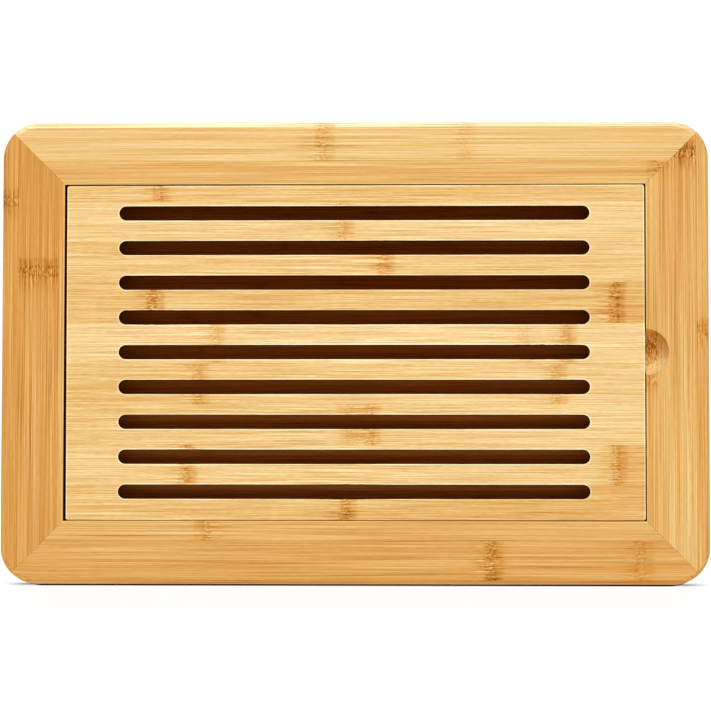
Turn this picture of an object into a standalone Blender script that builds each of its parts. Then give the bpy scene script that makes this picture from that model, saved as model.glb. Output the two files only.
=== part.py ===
"""Bread board with a crumb catcher.

Four mitred rails of laminated bamboo stand round a floor panel and make a shallow tray. A slotted
insert, edge-glued from bamboo staves, rests on two battens in the tray with its face level with the
rails, and lifts straight out. Crumbs fall through its slots on to the floor panel.

The origin is under the middle of the board, on the surface that it stands on. +X runs along the
board towards the finger notch, +Y towards the rear rail, +Z up. All lengths are in metres.
"""

import math

import bmesh
import bpy

# Board: the whole frame, seen from above and from the side
BOARD_LENGTH = 0.406
BOARD_WIDTH = 0.2655
BOARD_HEIGHT = 0.028

# Frame rails
RAIL_WIDTH = 0.0361
CORNER_RADIUS = 0.021
TOP_ROUND_RADIUS = 0.003
FOOT_ROUND_RADIUS = 0.0012

# Gaps: between faces that are glued or rest on each other, and the length that a cut runs on past
# the piece that it cuts
SEAT_GAP = 0.0003
CUT_OVERRUN = 0.002

# Sharp edges of the rails and the insert are broken by this much
EDGE_CHAMFER = 0.0005

# Floor panel, held in a groove round the rails
FLOOR_THICKNESS = 0.005
FLOOR_RECESS = 0.0025
GROOVE_DEPTH = 0.006
FLOOR_EDGE_CLEARANCE = 0.0005

# Battens that the insert rests on, one at each end of the tray
BATTEN_WIDTH = 0.018

# Loose tongues in the mitres, with the height of their middle above the table
TONGUE_LENGTH = 0.026
TONGUE_WIDTH = 0.016
TONGUE_THICKNESS = 0.004
TONGUE_MIDDLE_HEIGHT = 0.017

# Slotted insert. It lies a little nearer to the finger notch than to the left rail.
INSERT_THICKNESS = 0.008
INSERT_END_CLEARANCE = 0.0008
INSERT_SIDE_CLEARANCE = 0.0004
INSERT_SHIFT = 0.0003
INSERT_CORNER_RADIUS = 0.0015

# Slots of the insert, with the closed wood beyond their ends and the least beside the outermost
# ones. Their row stands a little off the insert's middle, towards the left rail.
SLOT_END_MARGIN = 0.0311
SLOT_WIDTH = 0.008
SLOT_PITCH = 0.020
SLOT_ROW_SHIFT = 0.0006
SLOT_EDGE_MARGIN = 0.010

# Staves that the insert is glued from. The rear seam lies just behind the rearmost slot, and the
# rear and front staves are ripped to what is left.
STAVE_WIDTH = 0.0233
REAR_SEAM_OFFSET = 0.0026
NARROWEST_STAVE = 0.006

# Finger notch in the right rail: a ball-shaped hollow with its middle on the rail's inner face
NOTCH_RIM_RADIUS = 0.0132
NOTCH_DEPTH = 0.010

# Steps that round stretches are made of
CORNER_STEPS = 7
ROUND_STEPS = 4
FOOT_STEPS = 2
SLOT_END_STEPS = 12
SMALL_CORNER_STEPS = 3
NOTCH_STEPS = 48
SMOOTH_ANGLE = math.radians(35)

# Linear colours and roughness of the woods
FRAME_COLOUR = (0.70, 0.38, 0.11)
INSERT_COLOUR = (0.86, 0.60, 0.26)
FLOOR_COLOUR = (0.45, 0.25, 0.09)
BATTEN_COLOUR = (0.68, 0.42, 0.16)
TONGUE_COLOUR = (0.62, 0.45, 0.27)
RAIL_TONE_SHARES = (1.0, 0.97, 1.04, 0.9)
STAVE_TONE_SHARES = (1.0, 0.95, 1.04, 0.97, 1.03, 0.98, 0.96, 0.93, 0.99)
BAMBOO_ROUGHNESS = 0.45
RAW_WOOD_ROUGHNESS = 0.6

# Sizes worked out from the ones above
OPENING_LENGTH = BOARD_LENGTH - 2 * RAIL_WIDTH
OPENING_WIDTH = BOARD_WIDTH - 2 * RAIL_WIDTH
FLOOR_BOTTOM = FLOOR_RECESS + SEAT_GAP
FLOOR_TOP = FLOOR_BOTTOM + FLOOR_THICKNESS
INSERT_BOTTOM = BOARD_HEIGHT - INSERT_THICKNESS
INSERT_LENGTH = OPENING_LENGTH - 2 * INSERT_END_CLEARANCE
INSERT_WIDTH = OPENING_WIDTH - 2 * INSERT_SIDE_CLEARANCE
SLOT_LENGTH = INSERT_LENGTH - 2 * SLOT_END_MARGIN


def clear_scene():
    """Remove every object that the scene starts with."""
    for thing in list(bpy.data.objects):
        bpy.data.objects.remove(thing)


def wood(name, colour, roughness, tone=1.0):
    """Return a wood material of one colour, made lighter or darker by a tone."""
    material = bpy.data.materials.new(name)
    material.use_nodes = True
    surface = material.node_tree.nodes["Principled BSDF"]
    surface.inputs["Base Color"].default_value = [min(1.0, part * tone) for part in colour] + [1.0]
    surface.inputs["Roughness"].default_value = roughness
    surface.inputs["Metallic"].default_value = 0.0
    return material


def arc(centre_x, centre_y, radius, start_angle, end_angle, steps):
    """Return the points of an arc from its start angle to its end angle, both included."""
    points = []
    for step in range(steps + 1):
        angle = start_angle + (end_angle - start_angle) * step / steps
        points.append((centre_x + radius * math.cos(angle), centre_y + radius * math.sin(angle)))
    return points


def rectangle(left, right, front, rear):
    """Return the corners of a rectangle, anticlockwise."""
    return [(left, front), (right, front), (right, rear), (left, rear)]


def rounded_rectangle(length, width, radius, steps):
    """Return the outline of a rectangle with round corners, anticlockwise about the origin."""
    across = length / 2 - radius
    up = width / 2 - radius
    quarter = math.pi / 2
    points = []
    for turn, (x, y) in enumerate([(across, up), (-across, up), (-across, -up), (across, -up)]):
        points += arc(x, y, radius, turn * quarter, (turn + 1) * quarter, steps)
    return points


def stadium(length, width, steps):
    """Return the outline of a slot with round ends along X, anticlockwise about the origin."""
    reach = (length - width) / 2
    quarter = math.pi / 2
    right_end = arc(reach, 0, width / 2, -quarter, quarter, steps)
    left_end = arc(-reach, 0, width / 2, quarter, 3 * quarter, steps)
    return right_end + left_end


def rail_outline(run):
    """Return the outline of a rail as long as its run, and the number of points on its outer side.

    The outer side lies on Y = 0 and the rail reaches to +Y. Both ends are cut at 45 degrees, and each
    mitre face stands back from the mitre by half of the seat gap.
    """
    middle = run / 2 - CORNER_RADIUS
    set_back = math.asin(SEAT_GAP / 2 / CORNER_RADIUS)
    eighth = math.pi / 4
    left_arc = arc(-middle, CORNER_RADIUS, CORNER_RADIUS, 5 * eighth + set_back, 6 * eighth, CORNER_STEPS)
    right_arc = arc(middle, CORNER_RADIUS, CORNER_RADIUS, 6 * eighth, 7 * eighth - set_back, CORNER_STEPS)
    inner = run / 2 - RAIL_WIDTH - SEAT_GAP / math.sqrt(2)
    outer_side = left_arc + right_arc
    return outer_side + [(inner, RAIL_WIDTH), (-inner, RAIL_WIDTH)], len(outer_side)


def add_rings(shape, rings):
    """Add a closed body to a mesh from outlines at rising heights, and return the rings of vertices.

    Each ring is an outline and its height, and all outlines have the same number of points.
    """
    levels = []
    for outline, height in rings:
        levels.append([shape.verts.new((x, y, height)) for x, y in outline])
    for lower, upper in zip(levels, levels[1:]):
        for index in range(len(lower)):
            after = (index + 1) % len(lower)
            shape.faces.new((lower[index], lower[after], upper[after], upper[index]))
    shape.faces.new(list(reversed(levels[0])))
    shape.faces.new(levels[-1])
    return levels


def ring_edges(shape, ring, first, last):
    """Return the edges of a ring from one point's number to another's."""
    return [shape.edges.get((ring[index], ring[index + 1])) for index in range(first, last)]


def break_edges(shape, edges, width, steps):
    """Round or chamfer edges by a width, in a number of steps."""
    bmesh.ops.bevel(
        shape,
        geom=edges,
        offset=width,
        offset_type="OFFSET",
        segments=steps,
        profile=0.5,
        affect="EDGES",
        clamp_overlap=True,
    )


def add_object(name, shape, material=None, parent=None):
    """Put a finished shape in the scene as an object."""
    mesh = bpy.data.meshes.new(name)
    shape.to_mesh(mesh)
    shape.free()
    thing = bpy.data.objects.new(name, mesh)
    bpy.context.scene.collection.objects.link(thing)
    if material:
        mesh.materials.append(material)
    if parent:
        thing.parent = parent
    return thing


def add_guide(name, shape, parent=None):
    """Put a shape that only cuts or trims other pieces in the scene."""
    guide = add_object(name, shape, parent=parent)
    guide.hide_render = True
    guide.display_type = "WIRE"
    return guide


def add_block(name, outline, bottom, top, material, parent=None):
    """Put a straight-sided piece in the scene."""
    shape = bmesh.new()
    add_rings(shape, [(outline, bottom), (outline, top)])
    return add_object(name, shape, material, parent)


def combine(piece, guide, operation):
    """Cut a piece with a guide, or keep only what lies inside the guide."""
    boolean = piece.modifiers.new(guide.name, "BOOLEAN")
    boolean.operation = operation
    boolean.object = guide


def finish_shape(piece):
    """Turn a piece's cuts into its own mesh, and shade its round stretches smooth."""
    depsgraph = bpy.context.evaluated_depsgraph_get()
    rough_mesh = piece.data
    piece.data = bpy.data.meshes.new_from_object(piece.evaluated_get(depsgraph))
    piece.modifiers.clear()
    bpy.data.meshes.remove(rough_mesh)
    piece.data.shade_smooth()
    piece.data.set_sharp_from_angle(angle=SMOOTH_ANGLE)


def make_rail(name, run, location, turn, material, parent):
    """Make a rail with its round outer edges, its mitred ends and its broken inner edge."""
    outline, outer_count = rail_outline(run)
    shape = bmesh.new()
    bottom_ring, top_ring = add_rings(shape, [(outline, 0), (outline, BOARD_HEIGHT)])
    top_outer = ring_edges(shape, top_ring, 0, outer_count - 1)
    bottom_outer = ring_edges(shape, bottom_ring, 0, outer_count - 1)
    top_inner = ring_edges(shape, top_ring, outer_count, outer_count + 1)
    break_edges(shape, top_outer, TOP_ROUND_RADIUS, ROUND_STEPS)
    break_edges(shape, bottom_outer, FOOT_ROUND_RADIUS, FOOT_STEPS)
    break_edges(shape, top_inner, EDGE_CHAMFER, 1)
    rail = add_object(name, shape, material, parent)
    rail.location = location
    rail.rotation_euler = (0, 0, turn)
    return rail


def mitre_places():
    """Return each mitre's name, the middle of its tongue and the angle that its joint runs at."""
    arc_inset = CORNER_RADIUS * (1 - 1 / math.sqrt(2))
    inset = (RAIL_WIDTH + arc_inset) / 2
    places = []
    for side_name, side in (("rear", 1), ("front", -1)):
        for end_name, end in (("left", -1), ("right", 1)):
            x = end * (BOARD_LENGTH / 2 - inset)
            y = side * (BOARD_WIDTH / 2 - inset)
            places.append((f"{side_name}_{end_name}", x, y, side * end * math.pi / 4))
    return places


def make_tongue_pockets(parent):
    """Make the guide that cuts a pocket for a loose tongue in every mitre."""
    length = TONGUE_LENGTH + 2 * SEAT_GAP
    width = TONGUE_WIDTH + 2 * SEAT_GAP
    bottom = TONGUE_MIDDLE_HEIGHT - TONGUE_THICKNESS / 2 - SEAT_GAP
    top = TONGUE_MIDDLE_HEIGHT + TONGUE_THICKNESS / 2 + SEAT_GAP
    shape = bmesh.new()
    for _, x, y, angle in mitre_places():
        outline = turned(stadium(length, width, SLOT_END_STEPS), angle, x, y)
        add_rings(shape, [(outline, bottom), (outline, top)])
    return add_guide("tongue_pocket_cutter", shape, parent)


def turned(outline, angle, shift_x, shift_y):
    """Return an outline turned about the origin and then moved."""
    points = []
    for x, y in outline:
        turned_x = x * math.cos(angle) - y * math.sin(angle)
        turned_y = x * math.sin(angle) + y * math.cos(angle)
        points.append((turned_x + shift_x, turned_y + shift_y))
    return points


def make_floor_groove(parent):
    """Make the guide that cuts the floor panel's groove in the rails."""
    reach_x = OPENING_LENGTH / 2 + GROOVE_DEPTH
    reach_y = OPENING_WIDTH / 2 + GROOVE_DEPTH
    outline = rectangle(-reach_x, reach_x, -reach_y, reach_y)
    shape = bmesh.new()
    add_rings(shape, [(outline, FLOOR_RECESS), (outline, FLOOR_TOP + SEAT_GAP)])
    return add_guide("floor_groove_cutter", shape, parent)


def make_notch_ball(parent):
    """Make the ball that hollows the finger notch out of the right rail."""
    radius = (NOTCH_RIM_RADIUS ** 2 + NOTCH_DEPTH ** 2) / (2 * NOTCH_DEPTH)
    shape = bmesh.new()
    bmesh.ops.create_uvsphere(shape, u_segments=NOTCH_STEPS, v_segments=NOTCH_STEPS // 2, radius=radius)
    ball = add_guide("finger_notch_cutter", shape, parent)
    ball.location = (OPENING_LENGTH / 2, 0, BOARD_HEIGHT - NOTCH_DEPTH + radius)
    return ball


def make_frame(tray):
    """Make the four rails, with the groove, the tongue pockets and the finger notch cut in them."""
    groove = make_floor_groove(tray)
    pockets = make_tongue_pockets(tray)
    notch = make_notch_ball(tray)
    quarter = math.pi / 2
    rails = (
        ("front_rail", BOARD_LENGTH, (0, -BOARD_WIDTH / 2, 0), 0),
        ("right_rail", BOARD_WIDTH, (BOARD_LENGTH / 2, 0, 0), quarter),
        ("rear_rail", BOARD_LENGTH, (0, BOARD_WIDTH / 2, 0), 2 * quarter),
        ("left_rail", BOARD_WIDTH, (-BOARD_LENGTH / 2, 0, 0), 3 * quarter),
    )
    pieces = []
    for (name, run, location, turn), tone in zip(rails, RAIL_TONE_SHARES):
        material = wood(f"{name}_bamboo", FRAME_COLOUR, BAMBOO_ROUGHNESS, tone)
        rail = make_rail(name, run, location, turn, material, tray)
        combine(rail, groove, "DIFFERENCE")
        combine(rail, pockets, "DIFFERENCE")
        if name == "right_rail":
            combine(rail, notch, "DIFFERENCE")
        pieces.append(rail)
    return pieces, [groove, pockets, notch]


def make_tongues(tray):
    """Make the loose tongue that lies hidden in each mitre."""
    bottom = TONGUE_MIDDLE_HEIGHT - TONGUE_THICKNESS / 2
    top = TONGUE_MIDDLE_HEIGHT + TONGUE_THICKNESS / 2
    pieces = []
    for place_name, x, y, angle in mitre_places():
        name = f"mitre_tongue_{place_name}"
        outline = stadium(TONGUE_LENGTH, TONGUE_WIDTH, SLOT_END_STEPS)
        material = wood(f"{name}_beech", TONGUE_COLOUR, RAW_WOOD_ROUGHNESS)
        tongue = add_block(name, outline, bottom, top, material, tray)
        tongue.location = (x, y, 0)
        tongue.rotation_euler = (0, 0, angle)
        pieces.append(tongue)
    return pieces


def make_floor(tray):
    """Make the floor panel that catches the crumbs."""
    reach_x = OPENING_LENGTH / 2 + GROOVE_DEPTH - FLOOR_EDGE_CLEARANCE
    reach_y = OPENING_WIDTH / 2 + GROOVE_DEPTH - FLOOR_EDGE_CLEARANCE
    outline = rectangle(-reach_x, reach_x, -reach_y, reach_y)
    material = wood("tray_floor_bamboo", FLOOR_COLOUR, RAW_WOOD_ROUGHNESS)
    return add_block("tray_floor", outline, FLOOR_BOTTOM, FLOOR_TOP, material, tray)


def make_battens(tray):
    """Make the two battens between the floor panel and the insert's closed ends."""
    bottom = FLOOR_TOP + SEAT_GAP
    top = INSERT_BOTTOM - SEAT_GAP
    outer = OPENING_LENGTH / 2 - SEAT_GAP
    inner = outer - BATTEN_WIDTH
    reach_y = OPENING_WIDTH / 2 - SEAT_GAP
    pieces = []
    for name, left, right in (("left_batten", -outer, -inner), ("right_batten", inner, outer)):
        outline = rectangle(left, right, -reach_y, reach_y)
        material = wood(f"{name}_bamboo", BATTEN_COLOUR, RAW_WOOD_ROUGHNESS)
        pieces.append(add_block(name, outline, bottom, top, material, tray))
    return pieces


def slot_places():
    """Return the middles of the slots along Y, from the rear one to the front one."""
    room = INSERT_WIDTH - 2 * SLOT_EDGE_MARGIN - SLOT_WIDTH
    count = 1 + math.floor(room / SLOT_PITCH)
    rearmost = (count - 1) / 2 * SLOT_PITCH
    return [rearmost - index * SLOT_PITCH for index in range(count)]


def stave_edges():
    """Return the rear and front edge of each stave along Y, from the rear one to the front one."""
    rear = INSERT_WIDTH / 2
    seam = slot_places()[0] + SLOT_WIDTH / 2 + REAR_SEAM_OFFSET
    edges = [(rear + CUT_OVERRUN, seam + SEAT_GAP / 2)]
    while seam - STAVE_WIDTH - NARROWEST_STAVE > -rear:
        edges.append((seam - SEAT_GAP / 2, seam - STAVE_WIDTH + SEAT_GAP / 2))
        seam -= STAVE_WIDTH
    edges.append((seam - SEAT_GAP / 2, -rear - CUT_OVERRUN))
    return edges


def make_slot_cutter(insert):
    """Make the guide that cuts the slots, a little wider at both faces to break their edges."""
    flare = EDGE_CHAMFER + CUT_OVERRUN
    straight = stadium(SLOT_LENGTH, SLOT_WIDTH, SLOT_END_STEPS)
    flared = stadium(SLOT_LENGTH + 2 * flare, SLOT_WIDTH + 2 * flare, SLOT_END_STEPS)
    shape = bmesh.new()
    for y in slot_places():
        wide = turned(flared, 0, -SLOT_ROW_SHIFT, y)
        narrow = turned(straight, 0, -SLOT_ROW_SHIFT, y)
        rings = [
            (wide, -CUT_OVERRUN),
            (narrow, EDGE_CHAMFER),
            (narrow, INSERT_THICKNESS - EDGE_CHAMFER),
            (wide, INSERT_THICKNESS + CUT_OVERRUN),
        ]
        add_rings(shape, rings)
    return add_guide("insert_slot_cutter", shape, insert)


def make_insert_blank(insert):
    """Make the guide that has the whole insert's shape, which the staves are trimmed to."""
    outline = rounded_rectangle(INSERT_LENGTH, INSERT_WIDTH, INSERT_CORNER_RADIUS, SMALL_CORNER_STEPS)
    shape = bmesh.new()
    levels = add_rings(shape, [(outline, 0), (outline, INSERT_THICKNESS)])
    rim = []
    for ring in levels:
        rim += ring_edges(shape, ring + ring[:1], 0, len(ring))
    break_edges(shape, rim, EDGE_CHAMFER, 1)
    return add_guide("insert_blank", shape, insert)


def make_insert(insert):
    """Make the staves of the slotted insert."""
    slots = make_slot_cutter(insert)
    blank = make_insert_blank(insert)
    combine(blank, slots, "DIFFERENCE")
    reach = INSERT_LENGTH / 2 + CUT_OVERRUN
    pieces = []
    for number, (rear, front) in enumerate(stave_edges(), start=1):
        name = f"insert_stave_{number}"
        tone = STAVE_TONE_SHARES[(number - 1) % len(STAVE_TONE_SHARES)]
        material = wood(f"{name}_bamboo", INSERT_COLOUR, BAMBOO_ROUGHNESS, tone)
        outline = rectangle(-reach, reach, front, rear)
        top = INSERT_THICKNESS + CUT_OVERRUN
        stave = add_block(name, outline, -CUT_OVERRUN, top, material, insert)
        combine(stave, blank, "INTERSECT")
        pieces.append(stave)
    return pieces, [slots, blank]


def add_anchor(name, location):
    """Add an empty that pieces are placed from."""
    anchor = bpy.data.objects.new(name, None)
    anchor.location = location
    bpy.context.scene.collection.objects.link(anchor)
    return anchor


def make_board():
    """Make the tray and the insert that lifts out of it."""
    clear_scene()
    tray = add_anchor("tray_origin", (0, 0, 0))
    insert = add_anchor("insert_lift_axis", (INSERT_SHIFT, 0, INSERT_BOTTOM))
    rails, frame_guides = make_frame(tray)
    staves, insert_guides = make_insert(insert)
    pieces = rails + staves + make_tongues(tray) + make_battens(tray) + [make_floor(tray)]
    bpy.context.view_layer.update()
    for piece in pieces:
        finish_shape(piece)
    for guide in frame_guides + insert_guides:
        bpy.data.objects.remove(guide)


make_board()
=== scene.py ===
"""Bread board with a crumb catcher: the finish of every surface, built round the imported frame.

The board lies flat, as it does in use, with its origin under its middle. +X runs along the board
towards the finger notch, +Y towards the rear rail, +Z up. All lengths are in metres.
"""

import logging
import math
import random
from collections.abc import Callable, Iterable, Mapping, Sequence
from dataclasses import dataclass, replace
from enum import Enum
from functools import cached_property, partial

import bmesh
import bpy
from mathutils import Matrix, Vector, noise


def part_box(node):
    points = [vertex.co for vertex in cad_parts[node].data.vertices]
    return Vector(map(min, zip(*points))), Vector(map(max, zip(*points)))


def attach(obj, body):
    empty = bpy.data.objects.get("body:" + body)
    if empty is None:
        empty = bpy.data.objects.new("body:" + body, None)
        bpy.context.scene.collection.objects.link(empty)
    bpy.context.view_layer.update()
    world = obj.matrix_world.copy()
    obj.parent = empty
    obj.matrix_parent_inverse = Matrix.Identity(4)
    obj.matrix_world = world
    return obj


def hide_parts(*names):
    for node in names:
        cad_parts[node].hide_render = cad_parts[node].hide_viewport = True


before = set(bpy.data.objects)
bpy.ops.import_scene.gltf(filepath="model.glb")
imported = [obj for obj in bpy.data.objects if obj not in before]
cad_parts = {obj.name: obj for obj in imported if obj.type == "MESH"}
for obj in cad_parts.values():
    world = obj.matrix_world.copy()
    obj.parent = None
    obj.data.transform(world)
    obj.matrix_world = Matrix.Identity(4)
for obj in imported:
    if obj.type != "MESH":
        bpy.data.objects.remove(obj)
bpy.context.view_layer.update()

LOG = logging.getLogger("bread_board")

Outline = list[tuple[float, float]]
Ring = tuple[Outline, float]
Span = tuple[float, float]
Piece = bpy.types.Object
Socket = bpy.types.NodeSocket
EdgeLightAndTone = Callable[[Vector, Vector], float]

# Face attributes that carry a lamella's own figures, and the painted light and shade on its edges, to the
# bamboo finish
LAMELLA_ATTRIBUTE = "lamella"
TONE_ATTRIBUTE = "lamella_tone"
TURN_ATTRIBUTE = "lamella_turn"
KNOT_ATTRIBUTES = ("knot_places", "knot_strengths", "knot_sides")
KNOTS_IN_A_LAMELLA = 3

SMOOTH_ANGLE = math.radians(35)
QUARTER_TURN = math.pi / 2
WHITE = (1.0, 1.0, 1.0, 1.0)

# How far a face may lie off a height and still count as lying on it, and a corner off a cut
SLACK = 0.000001
CUT_SLACK = 0.0000001

# The middle of the values that a noise texture gives
NOISE_MIDDLE = 0.5

# The least that a normal stands up on a flat face, on a worn edge's slope and on its rounding
FLAT_NORMAL = 0.9999
SLOPE_NORMAL = 0.96
ROUND_NORMAL = 0.1


class Grain(Enum):
    """The way that the fibres of a piece run."""

    LENGTHWISE = "lengthwise"
    CROSSWISE = "crosswise"

    @property
    def across(self) -> int:
        """Return the axis across the fibres, 0 for X and 1 for Y."""
        return 1 if self is Grain.LENGTHWISE else 0


class Cut(Enum):
    """What a guide does to the piece that it is combined with."""

    REMOVE = "DIFFERENCE"
    KEEP = "INTERSECT"


@dataclass(frozen=True)
class Knot:
    """A node of the bamboo culm, which shows as a band of flecks across a lamella.

    Its side is 1 where its brown ridge lies towards the lamella's high end, and -1 for the other.
    """

    along: float
    strength: float = 0.5
    side: float = 1.0


@dataclass(frozen=True)
class Lamella:
    """One strip of bamboo in a glued-up piece.

    Its edges are places across the grain, its tones run from 0, fresh straw, to 1, burnt brown, at
    the two ends of the board, and its seed sets its fibres apart from its neighbours'. One tone
    turns into the other at a place along the grain, over a reach to both sides of it.
    """

    low_edge: float
    high_edge: float
    low_tone: float
    high_tone: float
    seed: float
    knots: tuple[Knot, ...] = ()
    turn: float = 0.0
    turn_reach: float = 0.16

    @property
    def middle(self) -> float:
        """Return the place of the lamella's middle across the grain."""
        return (self.low_edge + self.high_edge) / 2

    @property
    def half_width(self) -> float:
        """Return half of the lamella's width."""
        return (self.high_edge - self.low_edge) / 2


@dataclass(frozen=True)
class Layer:
    """The lamellas that lie side by side between two heights of a glued-up piece."""

    bottom: float
    top: float
    lamellas: tuple[Lamella, ...]

    def beyond(self, height: float) -> float:
        """Return how far a height lies outside the layer, less than 0 inside it."""
        return max(self.bottom - height, height - self.top)

    def lamella_at(self, across: float) -> Lamella:
        """Return the lamella at a place across the grain, or the nearest one."""
        return min(self.lamellas, key=lambda strip: abs(across - strip.middle) - strip.half_width)


@dataclass(frozen=True)
class PlainLamellas:
    """Lamellas that nobody chose by eye, as in a rail's hidden layers.

    Their tones stray from a middle one. They have the knots that are given, or else two each by
    chance, which show as strongly as a share of the usual.
    """

    tone: float
    spread: float = 0.05
    knots: tuple[Knot, ...] = ()
    knot_share: float = 1.0
    knot_reach: float = 0.18
    knot_strengths: Span = (0.3, 0.7)
    seeds: Span = (1.0, 9.0)

    def layer(self, bottom: float, top: float, edges: Sequence[float], seed: int) -> Layer:
        """Lay the lamellas side by side.

        Args:
            bottom: The layer's bottom.
            top: The layer's top.
            edges: The lamellas' edges across the grain, rising.
            seed: What sets their tones, knots and fibres.

        Returns:
            The layer.
        """
        chance = random.Random(seed)
        strips = []
        for low_edge, high_edge in zip(edges, edges[1:]):
            tone = self.tone + chance.uniform(-self.spread, self.spread)
            knots = tuple(self.chance_knot(chance) for _ in range(2))
            seed_of_fibres = chance.uniform(*self.seeds)
            strips.append(Lamella(low_edge, high_edge, tone, tone, seed_of_fibres, self.knots or knots))
        return Layer(bottom, top, tuple(strips))

    def chance_knot(self, chance: random.Random) -> Knot:
        """Return a knot by chance."""
        along = chance.uniform(-self.knot_reach, self.knot_reach)
        return Knot(along, self.knot_share * chance.uniform(*self.knot_strengths))


@dataclass(frozen=True)
class Shade:
    """One stop of a ramp of wood colours: its place from 0 to 1, and how it looks as sRGB bytes."""

    place: float
    red: int
    green: int
    blue: int

    def pigment(self, veil: float) -> tuple[float, float, float, float]:
        """Return the linear colour that looks so under the white veil that the gloss lays over it."""
        red, green, blue = (max(linear(byte) - veil, 0.0) for byte in (self.red, self.green, self.blue))
        return (red, green, blue, 1.0)


def linear(byte: float) -> float:
    """Return the linear value of an sRGB byte, by the sRGB standard's own numbers."""
    share = byte / 255
    return share / 12.92 if share <= 0.04045 else ((share + 0.055) / 1.055) ** 2.4


class Number:
    """A number that shader nodes work out, which can be reckoned with like a plain one."""

    def __init__(self, sheet: "NodeSheet", socket: Socket) -> None:
        """Keep the sheet that the nodes are on, and the socket that the number comes from."""
        self.sheet = sheet
        self.socket = socket

    def __add__(self, other: "Value") -> "Number":
        """Return the sum."""
        return self.sheet.math("ADD", self, other)

    def __sub__(self, other: "Value") -> "Number":
        """Return the difference."""
        return self.sheet.math("SUBTRACT", self, other)

    def __rsub__(self, other: float) -> "Number":
        """Return the difference between a plain number and this one."""
        return self.sheet.math("SUBTRACT", other, self)

    def __mul__(self, other: "Value") -> "Number":
        """Return the product."""
        return self.sheet.math("MULTIPLY", self, other)

    def __truediv__(self, other: "Value") -> "Number":
        """Return the quotient."""
        return self.sheet.math("DIVIDE", self, other)

    def __abs__(self) -> "Number":
        """Return the number without its sign."""
        return self.sheet.math("ABSOLUTE", self)


Value = Number | Socket | float
Fed = Mapping[str | int, Value | Sequence[float]]


@dataclass(frozen=True)
class Zone:
    """A stretch of a knot along the grain: its middle, half its length, and its soft edges."""

    middle: float
    half: float
    edge: float


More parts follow.
